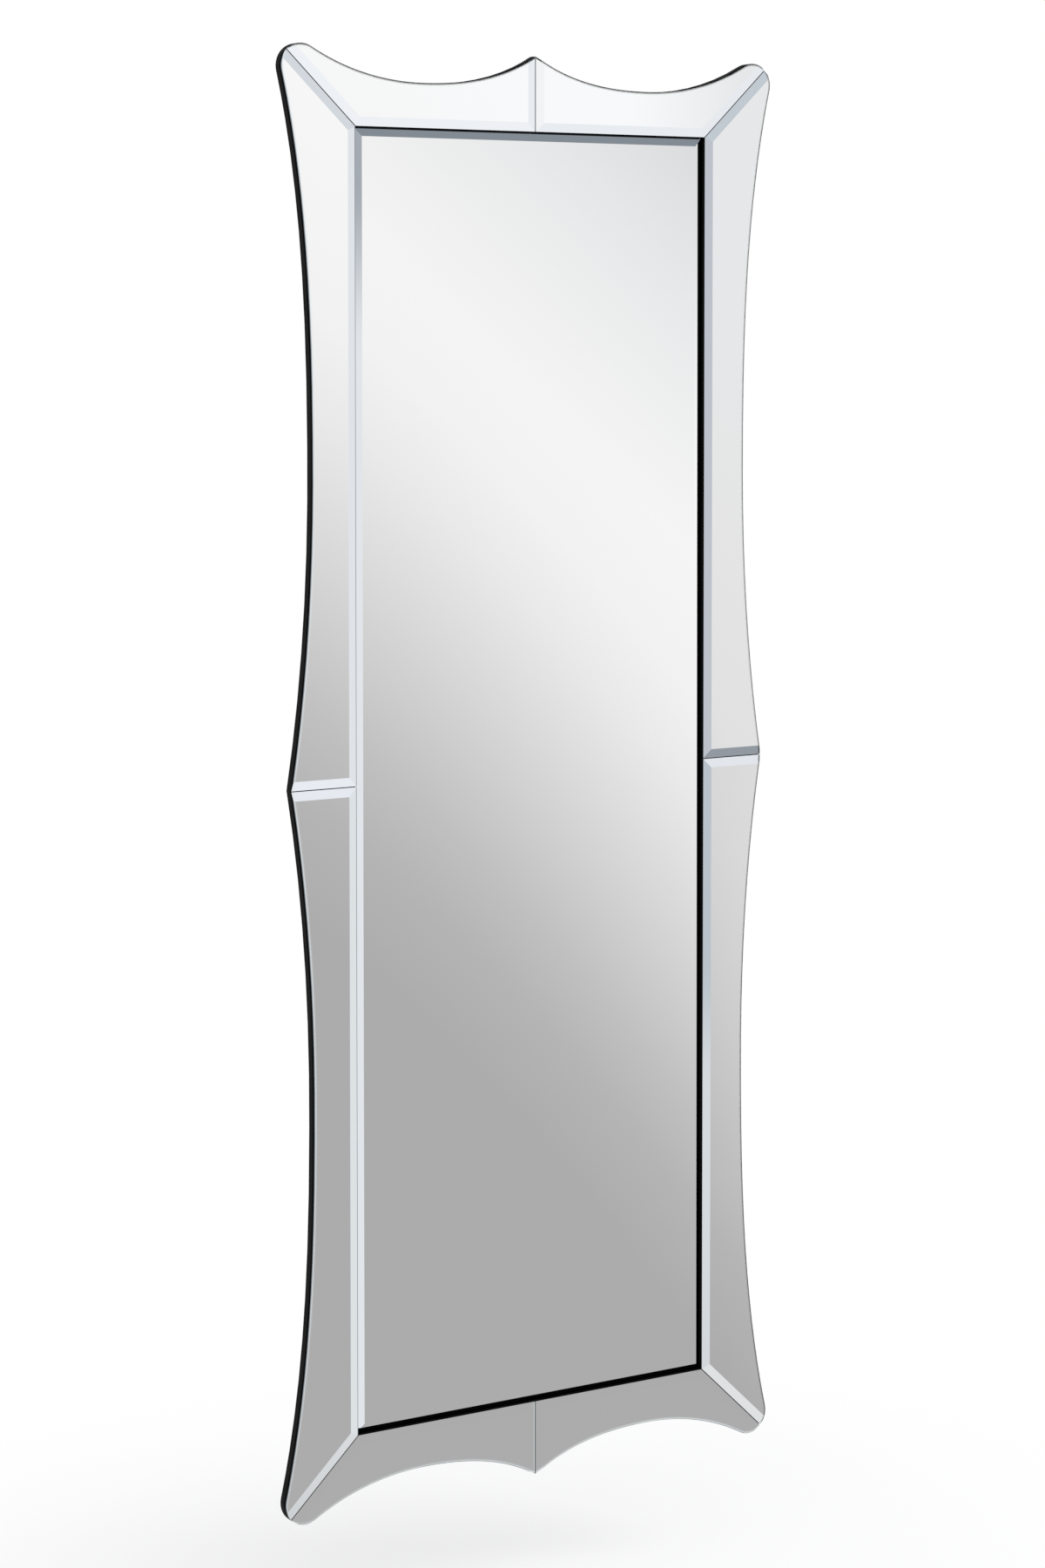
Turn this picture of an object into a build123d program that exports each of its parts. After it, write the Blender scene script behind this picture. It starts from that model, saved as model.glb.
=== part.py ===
"""Scalloped full-length wall mirror: a recessed bevelled plate inside eight bevelled glass panels.

Millimetres. The wall is the plane Y = 0, the glass faces -Y, Z is up, and the origin is on the wall
midway between the pivots of the two hanging rings.
"""
import math
import os

from build123d import *

# Opening that shows the recessed centre plate
opening_width = 435.5
opening_height = 1360.6

# Scalloped border: how far each place of the outline stands out from the opening
side_horn_reach = 86.0
end_horn_reach = 82.0
side_cusp_reach = 76.3        # the point between two side scallops
end_cusp_reach = 79.3         # the point between the two top or bottom scallops
side_trough_reach = 51.0      # the narrowest place of the border beside a scallop
end_trough_reach = 46.4
side_trough_shift = 41.0      # the side scallop is deepest this much nearer its cusp
end_trough_shift = 4.3        # the end scallop is deepest this much nearer its horn
horn_radius = 23.2
horn_side_angle = 13.3        # lean of the side scallop where it meets the horn
horn_end_angle = 29.0         # lean of the end scallop where it meets the horn
side_cusp_angle = 9.5         # lean of the side scallop at its cusp
end_cusp_angle = 31.5

# Layers, from the wall to the front
bumper_height = 6.0
back_board_thickness = 2.5
frame_thickness = 5.6
bond_line = 0.3
glass_thickness = 4.0

# Glass work
bevel_width = 9.5
bevel_drop = 1.7
arris = 0.6                   # ground corner along the scalloped edge
joint_gap = 1.0               # between neighbouring panels
center_clearance = 0.5        # between the centre plate and the frame around it

# Frame
rail_joint = 0.2              # glue line between a stile and a rail

# Crown staples that hold the back board to the frame
staple_crown = 10.0
staple_leg = 7.0
staple_wire_width = 1.2
staple_wire_thickness = 0.6
staple_clearance = 0.05
stile_staple_count = 6
rail_staple_count = 5
stile_staple_margin = 60.0    # from the end of a stile to its first staple
rail_staple_margin = 20.0     # from the corner of the opening, inwards, to a rail's first staple

# Adhesive strips, two behind each panel and a row behind the centre plate
bond_strip_width = 12.0
side_bond_inset = 8.0         # from the opening to the first strip
side_bond_pitch = 24.0
side_bond_margin = 60.0       # from the ends of a side panel
end_bond_pitch = 22.0
end_bond_margin = 20.0
center_bond_width = 22.0
center_bond_side_margin = 34.0
center_bond_end_margin = 70.0
center_bond_count = 5

# Hangers
hanger_below_top = 282.0      # ring pivot below the top of the horns
strap_thickness = 1.2
strap_width = 14.0
strap_length = 58.0           # from the ring pivot to the lower end
strap_end_radius = 6.0
strap_hole_radius = 1.9
strap_first_hole = 32.0       # below the ring pivot
strap_hole_pitch = 18.0
strap_wrap_angle = 250.0
wire_radius = 1.25
wire_facets = 6
pivot_clearance = 0.08
ring_width = 24.0             # across the middle of the wire
ring_leg = 7.0                # from the pivot to the start of the round bow
ring_corner_radius = 3.6
hanger_screw_radius = 1.75
hanger_screw_length = 8.5
hanger_screw_head_radius = 3.4
hanger_screw_head_height = 1.8
screw_clearance = 0.05        # between a screw and its hole

# Rubber bumpers
bumper_radius = 9.0
bumper_side_inset = 32.0      # from the centre of a horn's round
bumper_end_inset = 25.0

# Worked out from the sizes above
opening_x = opening_width / 2
opening_z = opening_height / 2
half_width = opening_x + side_horn_reach
half_height = opening_z + end_horn_reach
centre_z = hanger_below_top - half_height
back_board_rear = bumper_height
frame_rear = back_board_rear + back_board_thickness
frame_front = frame_rear + frame_thickness
panel_rear = frame_front + bond_line
center_rear = frame_rear + bond_line
strap_rear_face = back_board_rear - strap_thickness
pivot_depth = strap_rear_face - wire_radius - pivot_clearance
stile_middle = opening_x + side_trough_reach / 2
rail_middle = opening_z + end_trough_reach / 2
corners = [(sx, sz) for sz in (1, -1) for sx in (-1, 1)]
end_names = {(-1, 1): "top_left", (1, 1): "top_right", (-1, -1): "bottom_left", (1, -1): "bottom_right"}
side_names = {(-1, 1): "left_upper", (1, 1): "right_upper", (-1, -1): "left_lower", (1, -1): "right_lower"}


def layer(depth):
    """Plane parallel to the wall, centred on the mirror, at this distance in front of the wall."""
    return Plane(origin=(0, -depth, centre_z), x_dir=(1, 0, 0), z_dir=(0, -1, 0))


def polar(radius, degrees):
    """Point at this radius and angle."""
    return Vector(radius * math.cos(math.radians(degrees)), radius * math.sin(math.radians(degrees)))


def spread(first, last, count):
    """This many places, evenly spaced from the first to the last."""
    return [first + (last - first) * i / (count - 1) for i in range(count)]


def finish(part, name):
    """Label a finished piece and write it."""
    part.label = name
    export_step(part, f"parts/{name}.step")


# The scalloped outline: two scallops and a horn in the upper right quarter, then mirrored
horn_centre = Vector(half_width - horn_radius, half_height - horn_radius)
side_end = horn_centre + polar(horn_radius, -horn_side_angle)
end_start = horn_centre + polar(horn_radius, 90 + horn_end_angle)
horn_apex = horn_centre + polar(horn_radius, 45)
side_cusp = Vector(opening_x + side_cusp_reach, 0)
end_cusp = Vector(0, opening_z + end_cusp_reach)
side_trough = Vector(opening_x + side_trough_reach, side_end.Y / 2 - side_trough_shift)
end_trough = Vector(end_start.X / 2 + end_trough_shift, opening_z + end_trough_reach)
with BuildSketch() as outline:
    with BuildLine():
        Spline(side_cusp, side_trough, side_end,
               tangents=[polar(1, 90 + side_cusp_angle), polar(1, 90), polar(1, 90 - horn_side_angle)])
        ThreePointArc(side_end, horn_apex, end_start)
        Spline(end_start, end_trough, end_cusp,
               tangents=[polar(1, 180 + horn_end_angle), polar(1, 180), polar(1, 180 - end_cusp_angle)])
        Polyline(end_cusp, (0, 0), side_cusp)
    make_face()
    mirror(about=Plane.YZ)
    mirror(about=Plane.XZ)
scalloped = outline.sketch

# Direction of a mitre, from the corner of the opening to the tip of the horn
opening_corner = Vector(opening_x, opening_z)
mitre = (horn_apex - opening_corner).normalized()
across_mitre = Vector(mitre.Y, -mitre.X) * (joint_gap / 2)


def panel_area(beside):
    """Straight sides of a panel in the upper right quarter: beside the opening, or above it."""
    if beside:
        start = opening_corner + across_mitre - mitre * (across_mitre.X / mitre.X)
    else:
        start = opening_corner - across_mitre + mitre * (across_mitre.Y / mitre.Y)
    tip = start + mitre * half_width
    if beside:
        return [Vector(opening_x, joint_gap / 2), start, tip, Vector(tip.X, joint_gap / 2)]
    return [Vector(joint_gap / 2, opening_z), start, tip, Vector(joint_gap / 2, tip.Y)]


def panel(name, sx, sz, beside):
    """One frame panel: the outline cut by the opening, a mitre and a mid joint, then bevelled."""
    with BuildPart() as glass:
        with BuildSketch(layer(panel_rear)):
            add(scalloped)
            with BuildLine():
                Polyline(*[(sx * p.X, sz * p.Y) for p in panel_area(beside)], close=True)
            make_face(mode=Mode.INTERSECT)
        extrude(amount=glass_thickness)
        front = glass.faces().sort_by(Axis.Y)[0]
        chamfer(front.edges().filter_by(GeomType.LINE), length=bevel_width, length2=bevel_drop,
                reference=front)
        front = glass.faces().filter_by(Axis.Y).sort_by(Axis.Y)[0]
        chamfer(front.edges().filter_by(GeomType.LINE, reverse=True), length=arris)
    finish(glass.part, name)


# Where fastenings go, from the centre of the mirror: x, z and the turn of a staple's crown
stile_staples = [(sx * stile_middle, z, 90) for sx in (-1, 1)
                 for z in spread(stile_staple_margin - opening_z, opening_z - stile_staple_margin,
                                 stile_staple_count)]
rail_staples = [(x, sz * rail_middle, 0) for sz in (-1, 1)
                for x in spread(rail_staple_margin - opening_x, opening_x - rail_staple_margin,
                                rail_staple_count)]
hanger_screws_at = [(sx * stile_middle, -centre_z - strap_first_hole - i * strap_hole_pitch)
                    for sx in (-1, 1) for i in range(2)]


# Every fastening hole as one tool, to be cut from the board and the frame
screw_hole_end = strap_rear_face + hanger_screw_length + screw_clearance
with BuildPart() as fastening_holes:
    for x, z, turn in stile_staples + rail_staples:
        with Locations(Location((x, -back_board_rear - staple_leg / 2, z + centre_z), (0, turn, 0))):
            with Locations(*[(s * (staple_crown - staple_wire_thickness) / 2, 0, 0) for s in (-1, 1)]):
                Box(staple_wire_thickness + 2 * staple_clearance, staple_leg + 2 * staple_clearance,
                    staple_wire_width + 2 * staple_clearance)
    with BuildSketch(layer(back_board_rear)):
        with Locations(*hanger_screws_at):
            Circle(hanger_screw_radius + screw_clearance)
    extrude(amount=screw_hole_end - back_board_rear)


def frame_member(name, width, height, x, z):
    """A stile or rail: a bar of the frame whose outer edge follows the scallops."""
    with BuildPart() as member:
        with BuildSketch(layer(frame_rear)):
            add(scalloped)
            with Locations((x, z)):
                Rectangle(width, height, mode=Mode.INTERSECT)
        extrude(amount=frame_thickness)
        add(fastening_holes.part, mode=Mode.SUBTRACT)
    finish(member.part, name)


os.makedirs("parts", exist_ok=True)

# Centre plate, bevelled all round and set back behind the panels
with BuildPart() as center_mirror:
    with BuildSketch(layer(center_rear)):
        Rectangle(opening_width - 2 * center_clearance, opening_height - 2 * center_clearance)
    extrude(amount=glass_thickness)
    center_front = center_mirror.faces().sort_by(Axis.Y)[0]
    chamfer(center_front.edges(), length=bevel_width, length2=bevel_drop, reference=center_front)
finish(center_mirror.part, "center_mirror")

# Eight frame panels
for sx, sz in corners:
    panel(f"panel_{end_names[sx, sz]}", sx, sz, beside=False)
    panel(f"panel_{side_names[sx, sz]}", sx, sz, beside=True)

# Back board, with the scalloped outline and its fastening holes
with BuildPart() as back_board:
    with BuildSketch(layer(back_board_rear)):
        add(scalloped)
    extrude(amount=back_board_thickness)
    add(fastening_holes.part, mode=Mode.SUBTRACT)
finish(back_board.part, "back_board")

# Frame around the opening: two full-width rails with the stiles between them
for sx, name in ((-1, "frame_stile_left"), (1, "frame_stile_right")):
    frame_member(name, side_horn_reach, opening_height - 2 * rail_joint,
                 sx * (opening_x + side_horn_reach / 2), 0)
for sz, name in ((1, "frame_rail_top"), (-1, "frame_rail_bottom")):
    frame_member(name, 2 * half_width, end_horn_reach, 0, sz * (opening_z + end_horn_reach / 2))

# Adhesive strips behind the centre plate
center_bond_edge = opening_x - center_bond_side_margin
with BuildPart() as center_adhesive:
    with BuildSketch(layer(frame_rear)):
        with Locations(*[(x, 0) for x in spread(-center_bond_edge, center_bond_edge, center_bond_count)]):
            Rectangle(center_bond_width, opening_height - 2 * center_bond_end_margin)
    extrude(amount=bond_line)
finish(center_adhesive.part, "center_adhesive")

# Adhesive strips behind the panels, two to a panel
bond_middle = side_bond_inset + bond_strip_width / 2
with BuildPart() as panel_adhesive:
    with BuildSketch(layer(frame_front)):
        for sx, sz in corners:
            for i in range(2):
                with Locations((sx * (opening_x + bond_middle + i * side_bond_pitch), sz * opening_z / 2)):
                    Rectangle(bond_strip_width, opening_z - 2 * side_bond_margin)
                with Locations((sx * opening_x / 2, sz * (opening_z + bond_middle + i * end_bond_pitch))):
                    Rectangle(opening_x - 2 * end_bond_margin, bond_strip_width)
    extrude(amount=bond_line)
finish(panel_adhesive.part, "panel_adhesive")

# Staples, driven from behind until the crown lies on the board
with BuildPart(mode=Mode.PRIVATE) as staple:
    with BuildSketch():
        with Locations((0, (staple_wire_thickness - staple_leg) / 2)):
            Rectangle(staple_crown, staple_leg + staple_wire_thickness)
        with Locations((0, -staple_leg / 2)):
            Rectangle(staple_crown - 2 * staple_wire_thickness, staple_leg, mode=Mode.SUBTRACT)
    extrude(amount=staple_wire_width / 2, both=True)
with BuildPart() as staples:
    for x, z, turn in stile_staples + rail_staples:
        with Locations(Location((x, -back_board_rear, z + centre_z), (0, turn, 0))):
            add(staple.part)
finish(staples.part, "staples")

# Pan-head screws that hold the hanger straps
with BuildPart() as hanger_screws:
    with BuildSketch(layer(strap_rear_face)):
        with Locations(*hanger_screws_at):
            Circle(hanger_screw_head_radius)
    extrude(amount=-hanger_screw_head_height)
    with BuildSketch(layer(strap_rear_face)):
        with Locations(*hanger_screws_at):
            Circle(hanger_screw_radius)
    extrude(amount=hanger_screw_length)
finish(hanger_screws.part, "hanger_screws")


def hanger_strap(name, x):
    """Steel strap: flat on the board, then rolled round the straight side of the ring."""
    middle = strap_thickness / 2
    with BuildPart() as strap:
        with BuildSketch(Plane.YZ.offset(x - strap_width / 2)):
            with BuildLine():
                Line((middle - back_board_rear, -strap_length), (middle - back_board_rear, 0))
                CenterArc((-pivot_depth, 0), wire_radius + pivot_clearance + middle, 180, -strap_wrap_angle)
            trace(line_width=strap_thickness)
        extrude(amount=strap_width)
        lower_end = strap.faces().sort_by(Axis.Z)[0]
        fillet(lower_end.edges().filter_by(Axis.Y), radius=strap_end_radius)
        with BuildSketch(layer(strap_rear_face)):
            with Locations(*hanger_screws_at):
                Circle(strap_hole_radius)
        extrude(amount=strap_thickness, mode=Mode.SUBTRACT)
    finish(strap.part, name)


def hanger_ring(name, x):
    """D-shaped wire ring, hanging down from the strap; its straight side is the pivot."""
    half = ring_width / 2
    with BuildPart() as ring:
        with BuildSketch(Plane(origin=(x, -pivot_depth, 0), x_dir=(0, 1, 0), z_dir=(1, 0, 0))):
            RegularPolygon(wire_radius, wire_facets)
        extrude(amount=half - ring_corner_radius, both=True)
        for s in (-1, 1):
            corner = Axis((x + s * (half - ring_corner_radius), -pivot_depth, -ring_corner_radius), (0, s, 0))
            revolve(ring.faces().sort_by(Axis.X)[-1 if s > 0 else 0], axis=corner, revolution_arc=90)
        lower_ends = ring.faces().sort_by(Axis.Z)[:2]
        extrude(lower_ends, amount=ring_leg - ring_corner_radius)
        bow_start = ring.faces().sort_by(Axis.Z)[:2].sort_by(Axis.X)[-1]
        revolve(bow_start, axis=Axis((x, -pivot_depth, -ring_leg), (0, 1, 0)), revolution_arc=180)
    finish(ring.part, name)


for sx, side in ((-1, "left"), (1, "right")):
    hanger_strap(f"hanger_strap_{side}", sx * stile_middle)
    hanger_ring(f"hanger_ring_{side}", sx * stile_middle)

# Rubber bumpers that keep the back off the wall
for sx, sz in corners:
    with BuildPart() as bumper:
        with BuildSketch(layer(0)):
            with Locations((sx * (horn_centre.X - bumper_side_inset),
                            sz * (horn_centre.Y - bumper_end_inset))):
                Circle(bumper_radius)
        extrude(amount=bumper_height)
    finish(bumper.part, f"bumper_{end_names[sx, sz]}")
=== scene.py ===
import math

import bmesh
import bpy
from mathutils import Matrix, Vector


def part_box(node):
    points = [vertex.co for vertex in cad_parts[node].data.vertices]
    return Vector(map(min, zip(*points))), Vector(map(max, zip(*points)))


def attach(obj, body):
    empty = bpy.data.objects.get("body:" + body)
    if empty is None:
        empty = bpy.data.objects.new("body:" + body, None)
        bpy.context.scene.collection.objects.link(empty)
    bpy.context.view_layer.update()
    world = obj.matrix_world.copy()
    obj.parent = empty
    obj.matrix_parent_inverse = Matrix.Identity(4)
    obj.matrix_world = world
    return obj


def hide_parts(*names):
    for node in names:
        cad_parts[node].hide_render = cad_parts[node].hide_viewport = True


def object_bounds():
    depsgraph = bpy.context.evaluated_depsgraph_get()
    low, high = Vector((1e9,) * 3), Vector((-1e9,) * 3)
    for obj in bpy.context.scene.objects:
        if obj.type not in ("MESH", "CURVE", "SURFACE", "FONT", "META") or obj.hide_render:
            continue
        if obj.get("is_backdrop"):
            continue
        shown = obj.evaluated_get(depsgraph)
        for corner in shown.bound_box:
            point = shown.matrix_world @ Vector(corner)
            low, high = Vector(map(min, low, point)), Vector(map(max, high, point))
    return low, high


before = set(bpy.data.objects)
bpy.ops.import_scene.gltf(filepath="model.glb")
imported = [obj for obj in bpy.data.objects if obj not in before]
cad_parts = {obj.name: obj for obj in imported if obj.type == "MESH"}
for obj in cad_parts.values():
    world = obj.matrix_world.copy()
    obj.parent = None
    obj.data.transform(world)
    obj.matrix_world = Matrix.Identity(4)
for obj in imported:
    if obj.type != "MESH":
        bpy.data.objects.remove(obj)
cad_low, cad_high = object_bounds()

# Places read from the frame, in metres
plate_low, plate_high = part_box("center_mirror")
middle_z = (plate_low.z + plate_high.z) / 2
glass_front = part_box("panel_left_upper")[0].y
plate_half_width = plate_high.x

# Camera at the photograph's place: left of the mirror, a little above its middle
photo_long_side = 1800
focal_pixels = 3998.7
axis_row = 560
camera_side = -1.957
camera_distance = 3.1315
camera_above_middle = 0.4844
camera_forward = Vector((0.52598, 0.84909, -0.04889))

# Floor
floor_gap = 0.14              # below the mirror, which hangs on a wall
floor_size = 30.0
floor_white = (0.97, 0.97, 0.97, 1)
shadow_core, shadow_reach = 0.1, 0.95
shadow_softening = 0.5        # the least share of white over the shadow

# What polished glass sees: a pale studio with soft grey cards all round it
card_count = 8
card_azimuth = math.radians(24)
card_slant = 8.7              # degrees
card_low, card_high = -30.0, 20.0
soft_light, soft_strength = (0.9, 0.91, 0.93, 1), 0.55
studio_white = (0.945, 0.955, 0.965)
card_grey = (0.415, 0.415, 0.415)

# Hardware
wire_radius = 0.00125
ring_half_width = 0.012
ring_leg = 0.007
ring_corner = 0.0036
ring_sides = 24
bumper_taper = 0.9
bumper_roll = 0.0013
bumper_segments = 64
screw_segments = 48


class Graph:
    """Short calls for building a node tree."""

    def __init__(self, tree):
        self.tree = tree
        tree.nodes.clear()

    def node(self, kind, **settings):
        made = self.tree.nodes.new(kind)
        for name, value in settings.items():
            setattr(made, name, value)
        return made

    def feed(self, socket, value):
        """Link a socket, or set a plain value."""
        if isinstance(value, bpy.types.NodeSocket):
            self.tree.links.new(value, socket)
        else:
            socket.default_value = value

    def math(self, operation, *values):
        made = self.node("ShaderNodeMath", operation=operation)
        for socket, value in zip(made.inputs, values):
            self.feed(socket, value)
        return made.outputs[0]

    def parts_of(self, vector):
        made = self.node("ShaderNodeSeparateXYZ")
        self.feed(made.inputs[0], vector)
        return made.outputs

    def step(self, value, low, high, smooth=True):
        """0 below low, 1 above high; low may be the larger one."""
        kind = "SMOOTHSTEP" if smooth else "LINEAR"
        made = self.node("ShaderNodeMapRange", interpolation_type=kind)
        for name, number in (("Value", value), ("From Min", low), ("From Max", high)):
            self.feed(made.inputs[name], number)
        return made.outputs[0]

    def mix(self, factor, a, b, blend="MIX"):
        made = self.node("ShaderNodeMix", data_type="RGBA", blend_type=blend)
        self.feed(made.inputs[0], factor)
        for socket, value in ((made.inputs[6], a), (made.inputs[7], b)):
            self.feed(socket, value if isinstance(value, bpy.types.NodeSocket) else (*value, 1))
        return made.outputs[2]

    def mix_vector(self, factor, a, b):
        made = self.node("ShaderNodeMix", data_type="VECTOR")
        self.feed(made.inputs[0], factor)
        self.feed(made.inputs[4], a)
        self.feed(made.inputs[5], b)
        return made.outputs[1]

    def ramp(self, value, stops):
        """Colours along a value; each stop is a place and a grey or a colour."""
        made = self.node("ShaderNodeValToRGB")
        band = made.color_ramp
        band.interpolation = "LINEAR"
        while len(band.elements) < len(stops):
            band.elements.new(0.5)
        for element, (place, colour) in zip(band.elements, stops):
            element.position = place
            element.color = (*colour, 1) if isinstance(colour, tuple) else (colour, colour, colour, 1)
        self.feed(made.inputs[0], value)
        return made.outputs[0]

    def noise(self, scale, detail=3.0, stretch=(1, 1, 1)):
        """Noise in object space, in metres."""
        place = self.node("ShaderNodeTexCoord").outputs["Object"]
        mapping = self.node("ShaderNodeMapping")
        self.feed(mapping.inputs["Vector"], place)
        mapping.inputs["Scale"].default_value = stretch
        made = self.node("ShaderNodeTexNoise")
        self.feed(made.inputs["Vector"], mapping.outputs[0])
        made.inputs["Scale"].default_value = scale
        made.inputs["Detail"].default_value = detail
        return made.outputs[0]

    def bump(self, height, strength, distance):
        made = self.node("ShaderNodeBump")
        self.feed(made.inputs["Height"], height)
        made.inputs["Strength"].default_value = strength
        made.inputs["Distance"].default_value = distance
        return made.outputs[0]


def srgb(*values):
    """Colour from 0 to 255, as a picture shows it, to the shader's own scale."""
    values = values * 3 if len(values) == 1 else values
    scaled = [v / 255 for v in values]
    return tuple(v / 12.92 if v <= 0.04045 else ((v + 0.055) / 1.055) ** 2.4 for v in scaled)


def material(name):
    """A new material with a graph and its Principled shader."""
    made = bpy.data.materials.new(name)
    made.use_nodes = True
    graph = Graph(made.node_tree)
    shader = graph.node("ShaderNodeBsdfPrincipled")
    output = graph.node("ShaderNodeOutputMaterial")
    graph.feed(output.inputs["Surface"], shader.outputs[0])
    return made, graph, shader


def dress(names, made):
    """Give CAD nodes or new pieces one material."""
    for name in names:
        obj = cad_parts.get(name) or bpy.data.objects[name]
        obj.data.materials.clear()
        obj.data.materials.append(made)


# Silvered glass: it reflects the studio, and its colour paints in more of the reflections

up, down, left, right = (0, 1), (0, -1), (-1, 0), (1, 0)
top, bottom = cad_high.z, cad_low.z
facing_flat = (0, -1, 0)
facing_sky = (0, -0.985, 0.174)
bevel_lean, corner_lean = 0.09, 0.5       # the normal leans more than this on a bevel, or a ground corner
corner_facing, edge_facing = 0.9, 0.4     # and faces forward less than this on a ground corner, or the edge
line_reach = 0.0055                       # how far in from the edge its rounding is felt
line_lean = 0.3                           # the rounded normal leans out more than this in the line
line_samples = 8


def silvered_glass(name, flat, bevels, arris, rims=(), line=None, corners=()):
    """Mirror glass that reflects the studio, with painted reflections in its colour for its flat, its bevels
    and the ground corner of its outer edge.

    flat is one painted reflection colour, or (direction, first place, first colour, last place, last colour).
    Each bevel is (lean, (height, colour), (height, colour), normal), its colours painted reflections: a
    normal of None keeps the bevel's own.
    Each of the rims is (lean, place, colour, normal): everything further out that way takes that painted
    reflection, up to the top bevel.
    line is (direction, colour, normal): a painted reflection line that follows the outer edge on that side,
    just inside it.
    Each of the corners is (lean, colour, normal): the painted reflection on the ground corner of that side
    alone.
    """
    made, graph, shader = material(name)
    coordinates = graph.node("ShaderNodeTexCoord")
    normal = coordinates.outputs["Normal"]
    lean_x, lean_y, lean_z = graph.parts_of(normal)
    x, y, z = graph.parts_of(coordinates.outputs["Object"])

    def along(direction, across, upward):
        return graph.math("ADD", graph.math("MULTIPLY", across, float(direction[0])),
                          graph.math("MULTIPLY", upward, float(direction[1])))

    if len(flat) == 3:
        colour = graph.mix(0.0, flat, flat)
    else:
        direction, first, first_reflection, last, last_reflection = flat
        share = graph.step(along(direction, x, z), first, last, smooth=False)
        colour = graph.mix(share, first_reflection, last_reflection)
    # Painted reflections on the bevels, lighter or darker by bevel and height
    for lean, (high, upper), (low, lower), seen in bevels:
        mask = graph.math("GREATER_THAN", along(lean, lean_x, lean_z), bevel_lean)
        colour = graph.mix(mask, colour, graph.mix(graph.step(z, low, high), lower, upper))
        if seen:
            normal = graph.mix_vector(mask, normal, seen)
    # A painted reflection line just inside the outer edge
    if line:
        direction, painted_reflection, seen = line
        rounded = graph.node("ShaderNodeBevel", samples=line_samples)
        rounded.inputs["Radius"].default_value = line_reach
        in_object = graph.node("ShaderNodeVectorTransform", vector_type="NORMAL", convert_from="WORLD",
                               convert_to="OBJECT")
        graph.feed(in_object.inputs[0], rounded.outputs[0])
        turn_x, turn_y, turn_z = graph.parts_of(in_object.outputs[0])
        near_edge = graph.math("GREATER_THAN", along(direction, turn_x, turn_z), line_lean)
        colour = graph.mix(near_edge, colour, painted_reflection)
        if seen:
            normal = graph.mix_vector(near_edge, normal, seen)
    facing = graph.math("MULTIPLY", lean_y, -1.0)
    on_arris = graph.math("LESS_THAN", facing, corner_facing)
    on_edge = graph.math("LESS_THAN", facing, edge_facing)
    # Painted reflection on the ground corner of the outer edge, then on single sides of it
    colour = graph.mix(on_arris, colour, arris)
    for lean, painted_reflection, seen in corners:
        mask = graph.math("GREATER_THAN", along(lean, lean_x, lean_z), corner_lean)
        colour = graph.mix(mask, colour, painted_reflection)
        normal = graph.mix_vector(mask, normal, seen)
    below_top_bevel = graph.math("LESS_THAN", lean_z, bevel_lean)
    # Painted reflections on the rims, such as the black frame wall on the centre plate
    for lean, place, painted_reflection, seen in rims:
        mask = graph.math("MULTIPLY", graph.math("GREATER_THAN", along(lean, x, z), place), below_top_bevel)
        colour = graph.mix(mask, colour, painted_reflection)
        if seen:
            normal = graph.mix_vector(mask, normal, seen)
    colour = graph.mix(on_edge, colour, edge_black_and_wall_reflection)
    graph.feed(shader.inputs["Base Color"], colour)
    graph.feed(shader.inputs["Normal"], normal)
    graph.feed(shader.inputs["Metallic"], graph.math("SUBTRACT", 1.0, on_edge))
    haze = graph.math("MULTIPLY", graph.noise(9.0, detail=4.0), 0.012)
    ground = graph.math("ADD", graph.math("MULTIPLY", on_arris, 0.25), graph.math("MULTIPLY", on_edge, 0.3))
    graph.feed(shader.inputs["Roughness"], graph.math("ADD", graph.math("ADD", haze, ground), 0.004))
    shader.inputs["Specular IOR Level"].default_value = 0.12
    return made


def even(lean, painted_reflection, seen=None):
    """A bevel with the same painted reflection along its length."""
    return lean, (top, painted_reflection), (bottom, painted_reflection), seen


# Painted reflections: besides clear glass and the black edge paint, these colours stand in for the studio's
# light and the black frame seen in the glass
clear = srgb(254)
edge_black_and_wall_reflection = srgb(9, 9, 10)
dark_arris_reflection, grey_arris_reflection = srgb(10, 12, 13), srgb(112, 120, 124)
left_arris_reflection, side_arris_reflection = srgb(150, 158, 164), srgb(34, 39, 41)
pale_line_reflection = srgb(228, 233, 236)
top_reflected_line, right_reflected_line = (up, dark_arris_reflection, None), (right, srgb(14, 17, 19), None)
left_reflected_line, bottom_reflected_line = (left, pale_line_reflection, facing_sky), (down, pale_line_reflection, facing_sky)

# Widths of the strips of painted reflection and highlight; the painted reflection of the black frame wall on
# the right of the centre plate widens upward by its slope
left_reflection_strip = 0.0012
joint_highlight_strip = 0.0017
wall_reflection_at_origin, wall_reflection_slope = 0.0058, 0.0017
foot_wall_reflection = 0.0054

# A painted grey reflection along the left panels' inner rim
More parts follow.
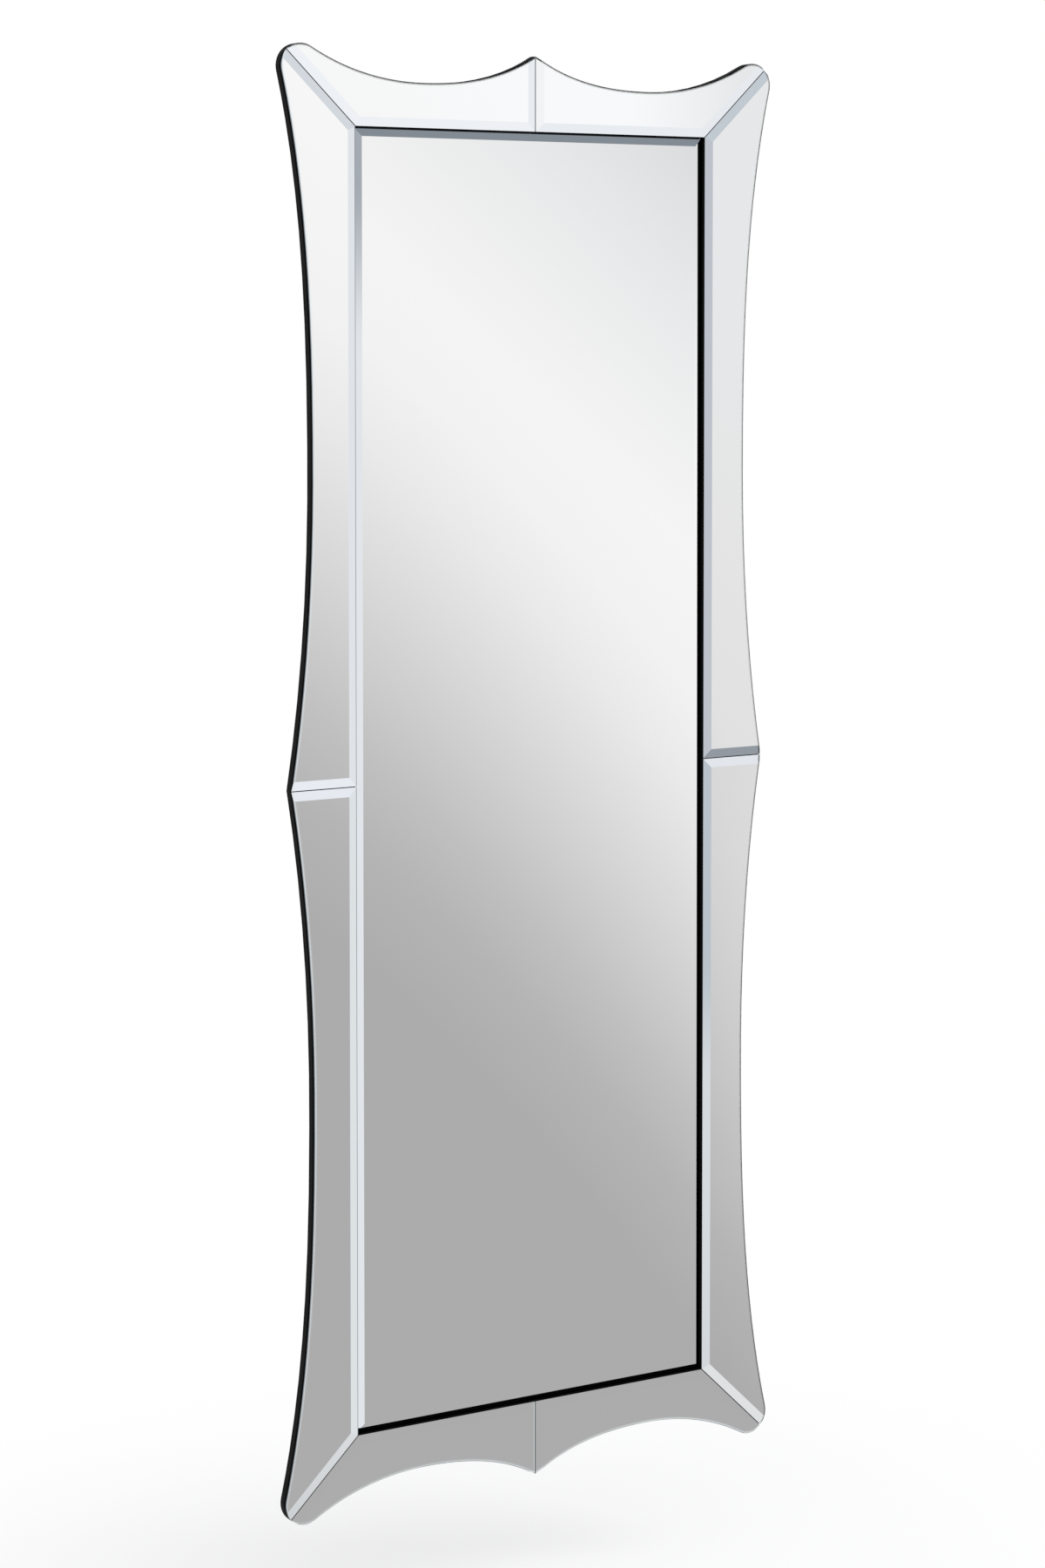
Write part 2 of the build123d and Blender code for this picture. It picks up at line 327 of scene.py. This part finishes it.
left_rim_reflection = [(right, -plate_half_width - left_reflection_strip, srgb(112, 122, 136), None)]
bottom_bevels = [even(lean, srgb(253), facing_flat) for lean in (up, left, right)]
# Each piece's painted reflections on its flat, bevels, arris, edge line, corners and rims
glass_painted_reflections = {
    "panel_left_upper": dict(
        flat=clear, arris=left_arris_reflection, rims=left_rim_reflection, line=left_reflected_line,
        bevels=[even(right, srgb(229, 232, 236)), even(down, srgb(238, 241, 246), facing_sky),
                even(up, srgb(216, 220, 225))]),
    "panel_left_lower": dict(
        flat=clear, arris=left_arris_reflection, rims=left_rim_reflection, line=left_reflected_line,
        bevels=[even(right, srgb(226, 230, 232)), even(down, srgb(232, 236, 238), facing_sky),
                even(up, srgb(236, 239, 244))]),
    "panel_right_upper": dict(
        flat=srgb(236), arris=side_arris_reflection, line=right_reflected_line,
        bevels=[even(left, srgb(194, 198, 205), facing_sky), even(down, srgb(150, 156, 163), facing_sky),
                even(up, srgb(198, 205, 212), facing_sky)]),
    "panel_right_lower": dict(
        flat=(up, -0.95, srgb(254), -0.48, srgb(230)), arris=side_arris_reflection, line=right_reflected_line,
        bevels=[(left, (-0.7, srgb(190, 198, 205)), (-0.85, srgb(218, 222, 226)), facing_sky),
                even(up, srgb(232, 235, 240)), even(down, srgb(230, 232, 233), facing_sky)]),
    "panel_top_left": dict(
        flat=clear, arris=dark_arris_reflection, line=top_reflected_line, corners=[(down, srgb(170, 176, 182), facing_sky)],
        bevels=[even(down, srgb(243, 245, 248), facing_sky), even(left, srgb(244, 246, 249), facing_sky),
                even(right, srgb(238, 241, 245), facing_sky)]),
    "panel_top_right": dict(
        flat=(right, 0.12, srgb(254), 0.27, srgb(236)), arris=dark_arris_reflection, line=top_reflected_line,
        corners=[(down, srgb(84, 89, 94), facing_sky)],
        bevels=[even(down, srgb(238, 241, 245), facing_sky), even(left, srgb(248), facing_sky),
                even(right, srgb(236, 239, 243), facing_sky)]),
    "panel_bottom_left": dict(
        flat=clear, bevels=bottom_bevels, arris=grey_arris_reflection, line=bottom_reflected_line,
        # A painted highlight beside the bottom middle joint
        rims=[(right, -joint_highlight_strip, srgb(222, 227, 230), facing_sky)]),
    "panel_bottom_right": dict(flat=clear, bevels=bottom_bevels, arris=grey_arris_reflection, line=bottom_reflected_line),
    "center_mirror": dict(
        flat=((0.83, 1), -0.08, srgb(254), 0.36, srgb(225)), arris=dark_arris_reflection,
        corners=[(up, srgb(112, 118, 125), facing_sky)],
        bevels=[(left, (0.15, srgb(169, 174, 181)), (-0.04, srgb(231, 234, 237)), None),
                (right, (0.2, srgb(226)), (-0.2, srgb(254)), facing_flat), even(down, srgb(254), facing_flat),
                even(up, srgb(134, 141, 149))],
        # The plate's right and bottom rims are a painted reflection of the black frame wall, in the edge
        # black
        rims=[((1, wall_reflection_slope), plate_half_width - wall_reflection_at_origin, edge_black_and_wall_reflection, None),
              (down, -plate_low.z - foot_wall_reflection, edge_black_and_wall_reflection, None)]),
}
for node, looks in glass_painted_reflections.items():
    dress([node], silvered_glass(f"glass_{node}", **looks))


# Board, steel, rubber and adhesive

def black_board():
    """Fibreboard painted satin black: faint roller stipple, and a fuzzier sawn edge."""
    made, graph, shader = material("painted_board")
    facing = graph.parts_of(graph.node("ShaderNodeTexCoord").outputs["Normal"])[1]
    flat = graph.math("GREATER_THAN", graph.math("ABSOLUTE", facing), 0.7)
    stipple = graph.noise(900.0, detail=4.0)
    fibres = graph.noise(700.0, detail=5.0, stretch=(1, 3, 1))
    cloud = graph.noise(7.0, detail=4.0)
    height = graph.math("ADD", graph.math("MULTIPLY", stipple, flat),
                        graph.math("MULTIPLY", fibres, graph.math("SUBTRACT", 1.0, flat)))
    colour = graph.mix(graph.step(cloud, 0.3, 0.7), srgb(10, 10, 11), srgb(15, 15, 16))
    colour = graph.mix(graph.math("MULTIPLY", graph.step(fibres, 0.55, 0.8), 0.2), colour, srgb(32, 31, 30))
    graph.feed(shader.inputs["Base Color"], colour)
    graph.feed(shader.inputs["Roughness"], graph.step(cloud, -2.2, 1.6, smooth=False))
    graph.feed(shader.inputs["Normal"], graph.bump(height, 0.18, 0.0001))
    shader.inputs["Specular IOR Level"].default_value = 0.1
    return made


def zinc_steel(name, stretch):
    """Bright zinc plate: fine draw lines along the metal and a faint yellow and blue cast."""
    made, graph, shader = material(name)
    lines = graph.noise(1500.0, detail=2.0, stretch=stretch)
    cast = graph.noise(120.0, detail=2.0)
    colour = graph.mix(graph.step(cast, 0.35, 0.65), srgb(203, 206, 210), srgb(214, 210, 198))
    colour = graph.mix(graph.math("MULTIPLY", graph.step(lines, 0.5, 0.8), 0.3), colour, srgb(160, 162, 165))
    graph.feed(shader.inputs["Base Color"], colour)
    graph.feed(shader.inputs["Roughness"], graph.step(lines, -1.0, 2.6, smooth=False))
    graph.feed(shader.inputs["Normal"], graph.bump(lines, 0.15, 0.0001))
    shader.inputs["Metallic"].default_value = 1.0
    return made


def rubber():
    """Matt black rubber with a fine moulded grain."""
    made, graph, shader = material("bumper_rubber")
    grain = graph.noise(1800.0, detail=3.0)
    cloud = graph.noise(160.0, detail=2.0)
    graph.feed(shader.inputs["Base Color"], graph.mix(cloud, srgb(34), srgb(46, 45, 44)))
    graph.feed(shader.inputs["Roughness"], graph.step(grain, -3.0, 1.2, smooth=False))
    graph.feed(shader.inputs["Normal"], graph.bump(grain, 0.5, 0.0003))
    shader.inputs["Specular IOR Level"].default_value = 0.35
    return made


def adhesive():
    """Cured black mirror adhesive."""
    made, graph, shader = material("mirror_adhesive")
    lumps = graph.noise(260.0, detail=3.0)
    graph.feed(shader.inputs["Base Color"], graph.mix(lumps, srgb(38), srgb(52, 51, 50)))
    graph.feed(shader.inputs["Roughness"], graph.step(lumps, -1.5, 1.5, smooth=False))
    graph.feed(shader.inputs["Normal"], graph.bump(lumps, 0.4, 0.0005))
    return made


steel_along_z = zinc_steel("zinc_drawn_upright", (1, 1, 0.04))
steel_along_x = zinc_steel("zinc_drawn_across", (0.04, 1, 1))
rubber_look = rubber()
dress(["back_board", "frame_stile_left", "frame_stile_right", "frame_rail_top", "frame_rail_bottom"],
      black_board())
dress(["center_adhesive", "panel_adhesive"], adhesive())
dress(["hanger_strap_left", "hanger_strap_right"], steel_along_z)
dress(["staples"], steel_along_x)


# Hardware with its fine form

def new_piece(name, mesh_maker, look, body, node=None):
    """A mesh piece from a bmesh that mesh_maker fills, riding on a body."""
    mesh = bpy.data.meshes.new(name)
    made = bmesh.new()
    mesh_maker(made)
    bmesh.ops.recalc_face_normals(made, faces=made.faces)
    made.to_mesh(mesh)
    made.free()
    mesh.shade_smooth()
    obj = bpy.data.objects.new(name, mesh)
    bpy.context.scene.collection.objects.link(obj)
    mesh.materials.append(look)
    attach(obj, body)
    if node:
        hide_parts(node)
    return obj


def turned(made, profile, centre, segments):
    """A solid of revolution about the Y direction; the profile is (radius, y) from axis to axis."""
    rings = []
    for radius, y in profile:
        if radius == 0:
            rings.append([made.verts.new((centre.x, y, centre.z))])
            continue
        rings.append([made.verts.new((centre.x + radius * math.cos(a), y, centre.z + radius * math.sin(a)))
                      for a in (2 * math.pi * i / segments for i in range(segments))])
    for lower, upper in zip(rings, rings[1:]):
        for i in range(segments):
            j = (i + 1) % segments
            corners = [lower[i % len(lower)], lower[j % len(lower)],
                       upper[j % len(upper)], upper[i % len(upper)]]
            made.faces.new(list(dict.fromkeys(corners)))


def arc(centre, radius, first, last, count):
    """Points of an arc in a flat frame, angles in degrees."""
    return [(centre[0] + radius * math.cos(math.radians(first + (last - first) * i / count)),
             centre[1] + radius * math.sin(math.radians(first + (last - first) * i / count)))
            for i in range(count + 1)]


def tube(made, path, radius, sides):
    """A closed round tube along a closed flat path of (x, y, z) points, all at one depth."""
    count = len(path)
    rings = []
    for i, (x, y, z) in enumerate(path):
        before, after = Vector(path[i - 1]), Vector(path[(i + 1) % count])
        along = (after - before).normalized()
        out = along.cross(Vector((0, 1, 0)))
        rings.append([made.verts.new(Vector((x, y, z)) + out * (radius * math.cos(a)) +
                                     Vector((0, 1, 0)) * (radius * math.sin(a)))
                      for a in (2 * math.pi * k / sides for k in range(sides))])
    for i in range(count):
        a, b = rings[i], rings[(i + 1) % count]
        for k in range(sides):
            made.faces.new((a[k], a[(k + 1) % sides], b[(k + 1) % sides], b[k]))


def ring_path(x, y):
    """Middle of the D-ring's wire, its straight side on the pivot at z = 0."""
    half, corner = ring_half_width, ring_corner
    flat = [(-half + corner + (2 * half - 2 * corner) * i / 8, 0) for i in range(8)]
    flat += arc((half - corner, -corner), corner, 90, 0, 10)
    flat += arc((0, -ring_leg), half, 0, -180, 48)
    flat += arc((-half + corner, -corner), corner, 180, 90, 10)[:-1]
    return [(x + px, y, pz) for px, pz in flat]


for side in ("left", "right"):
    node = f"hanger_ring_{side}"
    low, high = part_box(node)
    middle = (low + high) / 2
    path = ring_path(middle.x, middle.y)
    new_piece(f"d_ring_{side}", lambda made: tube(made, path, wire_radius, ring_sides), steel_along_x,
              f"ring_{side}", node)


def bumper_profile(low_y, high_y, radius):
    """Rubber bumper from its wall face to the board, with a soft rolled edge and a slight taper."""
    face_radius = radius * bumper_taper
    rounded = arc((face_radius - bumper_roll, high_y - bumper_roll), bumper_roll, 90, 5, 8)
    return [(0, high_y)] + rounded + [(radius, low_y), (0, low_y)]


for name in ("top_left", "top_right", "bottom_left", "bottom_right"):
    low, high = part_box(f"bumper_{name}")
    middle = (low + high) / 2
    profile = bumper_profile(low.y, high.y, (high.x - low.x) / 2)
    new_piece(f"rubber_bumper_{name}", lambda made: turned(made, profile, middle, bumper_segments),
              rubber_look, "mirror", f"bumper_{name}")


def pan_head_screws():
    """The four hanger screws: domed heads with a cross recess."""
    low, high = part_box("hanger_screws")
    head_radius, shank_radius, head_height, point = 0.0034, 0.00175, 0.0018, 0.001
    crown_place, crown_radius = 0.0018, 0.0012
    side_place, side_rise, side_radius = 0.0020, 0.0004, 0.0014
    recess_length, recess_depth, recess_width = 0.0036, 0.0022, 0.0007
    arm_step = 0.00002                # keeps the two arms of a cross from sharing a face
    first_turn, next_turn = 25, 37    # degrees, so that no two heads stand alike
    seat = high.y - head_height
    profile = [(0, high.y)] + arc((crown_place, high.y - crown_radius), crown_radius, 90, 60, 3)
    profile += arc((side_place, seat + side_rise), side_radius, 55, 0, 6)
    profile += [(head_radius, seat), (shank_radius, seat), (shank_radius, low.y + point), (0, low.y)]
    places = [(x, z) for x in (low.x + head_radius, high.x - head_radius)
              for z in (low.z + head_radius, high.z - head_radius)]

    def bodies(made):
        for x, z in places:
            turned(made, profile, Vector((x, 0, z)), screw_segments)

    def crosses(made):
        for i, (x, z) in enumerate(places):
            for quarter in (0, 1):
                turn = Matrix.Rotation(math.radians(first_turn + next_turn * i + 90 * quarter), 4, "Y")
                arm = Matrix.Diagonal((recess_length, recess_depth, recess_width + arm_step * quarter, 1))
                place = Matrix.Translation((x, high.y, z))
                bmesh.ops.create_cube(made, size=1, matrix=place @ turn @ arm)

    screws = new_piece("pan_head_screws", bodies, steel_along_x, "mirror", "hanger_screws")
    cutter = new_piece("recess_cutter", crosses, steel_along_x, "mirror")
    cut = screws.modifiers.new("recess", "BOOLEAN")
    cut.operation, cut.object, cut.use_self = "DIFFERENCE", cutter, True
    bpy.context.view_layer.update()
    drilled = bpy.data.meshes.new_from_object(screws.evaluated_get(bpy.context.evaluated_depsgraph_get()))
    screws.modifiers.clear()
    screws.data = drilled
    drilled.set_sharp_from_angle(angle=math.radians(35))
    bpy.data.objects.remove(cutter)


pan_head_screws()

# Camera
camera_data = bpy.data.cameras.new("photo_camera")
camera_data.sensor_width = 36.0
camera_data.lens = camera_data.sensor_width * focal_pixels / photo_long_side
camera_data.shift_y = (axis_row - photo_long_side / 2) / photo_long_side
camera = bpy.data.objects.new("photo_camera", camera_data)
bpy.context.scene.collection.objects.link(camera)
camera.location = (camera_side, glass_front - camera_distance, middle_z + camera_above_middle)
camera.rotation_mode = "QUATERNION"
camera.rotation_quaternion = camera_forward.to_track_quat("-Z", "Y")
bpy.context.scene.camera = camera


# World: white behind the object, the pale studio in what glossy surfaces see
def studio_world():
    """White to the camera, a soft even light on the object, and the cards to glossy surfaces."""
    world = bpy.data.worlds.new("studio")
    bpy.context.scene.world = world
    world.use_nodes = True
    graph = Graph(world.node_tree)
    x, y, z = graph.parts_of(graph.node("ShaderNodeTexCoord").outputs["Generated"])
    azimuth = graph.math("ARCTAN2", x, graph.math("MULTIPLY", y, -1.0))
    height = graph.math("MULTIPLY", graph.math("ARCSINE", z), 180 / math.pi)
    turn = graph.math("MULTIPLY", graph.math("SUBTRACT", azimuth, card_azimuth), float(card_count))
    wave = graph.math("COSINE", turn)
    # Height above the card's lower part, in degrees: the cards' tops slant
    over = graph.math("ADD", height, graph.math("MULTIPLY", graph.math("SUBTRACT", 1.0, wave), card_slant))
    place = graph.step(over, card_low, card_high, smooth=False)
    card = graph.ramp(place, [(0.10, studio_white), (0.20, card_grey), (0.43, card_grey), (0.47, 0.463),
                              (0.50, 0.53), (0.60, 0.82), (0.635, 0.895), (0.70, 0.93),
                              (0.76, studio_white)])
    colour = graph.mix(graph.step(wave, -0.15, -0.45), card, studio_white)
    lit = graph.node("ShaderNodeBackground")
    lit.inputs["Color"].default_value = soft_light
    lit.inputs["Strength"].default_value = soft_strength
    seen = graph.node("ShaderNodeBackground")
    seen.inputs["Color"].default_value = (1, 1, 1, 1)
    glossy = graph.node("ShaderNodeBackground")
    graph.feed(glossy.inputs["Color"], colour)
    rays = graph.node("ShaderNodeLightPath")
    to_glossy = graph.math("MAXIMUM", rays.outputs["Is Glossy Ray"], rays.outputs["Is Transmission Ray"])
    first = graph.node("ShaderNodeMixShader")
    graph.feed(first.inputs[0], to_glossy)
    graph.feed(first.inputs[1], lit.outputs[0])
    graph.feed(first.inputs[2], glossy.outputs[0])
    second = graph.node("ShaderNodeMixShader")
    graph.feed(second.inputs[0], rays.outputs["Is Camera Ray"])
    graph.feed(second.inputs[1], first.outputs[0])
    graph.feed(second.inputs[2], seen.outputs[0])
    output = graph.node("ShaderNodeOutputWorld")
    graph.feed(output.inputs[0], second.outputs[0])


studio_world()


# Floor
def pale_floor():
    """A pale floor that keeps the shadow and runs into the white background."""
    mesh = bpy.data.meshes.new("floor")
    z, half = cad_low.z - floor_gap, floor_size / 2
    corners = [(-half, -half, z), (half, -half, z), (half, half, z), (-half, half, z)]
    mesh.from_pydata(corners, [], [(0, 1, 2, 3)])
    floor = bpy.data.objects.new("floor", mesh)
    bpy.context.scene.collection.objects.link(floor)
    made, graph, shader = material("floor")
    shader.inputs["Base Color"].default_value = floor_white
    shader.inputs["Roughness"].default_value = 0.9
    shader.inputs["Specular IOR Level"].default_value = 0.1
    # Away from the shadow the floor runs into the white background
    x, y, height = graph.parts_of(graph.node("ShaderNodeTexCoord").outputs["Object"])
    squares = graph.math("ADD", graph.math("MULTIPLY", x, x), graph.math("MULTIPLY", y, y))
    distance = graph.math("SQRT", squares)
    white = graph.node("ShaderNodeEmission")
    blend = graph.node("ShaderNodeMixShader")
    seen = graph.node("ShaderNodeLightPath").outputs["Is Camera Ray"]
    far = graph.step(distance, shadow_core, shadow_reach)
    share = graph.math("MULTIPLY_ADD", far, 1 - shadow_softening, shadow_softening)
    graph.feed(blend.inputs[0], graph.math("MULTIPLY", seen, share))
    graph.feed(blend.inputs[1], shader.outputs[0])
    graph.feed(blend.inputs[2], white.outputs[0])
    graph.feed(made.node_tree.nodes["Material Output"].inputs["Surface"], blend.outputs[0])
    mesh.materials.append(made)
    floor.visible_glossy = False
    floor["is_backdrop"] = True


pale_floor()


def area_lamp(name, location, target, size, power):
    """A large soft lamp that glossy surfaces don't see."""
    data = bpy.data.lights.new(name, "AREA")
    data.shape = "RECTANGLE"
    data.size, data.size_y = size
    data.energy = power
    lamp = bpy.data.objects.new(name, data)
    bpy.context.scene.collection.objects.link(lamp)
    lamp.location = location
    lamp.rotation_mode = "QUATERNION"
    lamp.rotation_quaternion = (Vector(target) - Vector(location)).to_track_quat("-Z", "Y")
    lamp.visible_glossy = False


# Each lamp's place, its width and height, and its watts
lamps = {"key_lamp": ((2.2, -2.6, middle_z + 2.2), (2.0, 2.0), 70),
         "fill_lamp": ((-2.8, -2.2, middle_z + 0.6), (2.0, 2.4), 25),
         "back_lamp": ((-1.2, 2.8, middle_z + 1.6), (2.2, 2.2), 55)}
for name, (place, size, power) in lamps.items():
    area_lamp(name, place, (0, 0, middle_z), size, power)

view = bpy.context.scene.view_settings
view.view_transform = "Standard"

low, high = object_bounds()
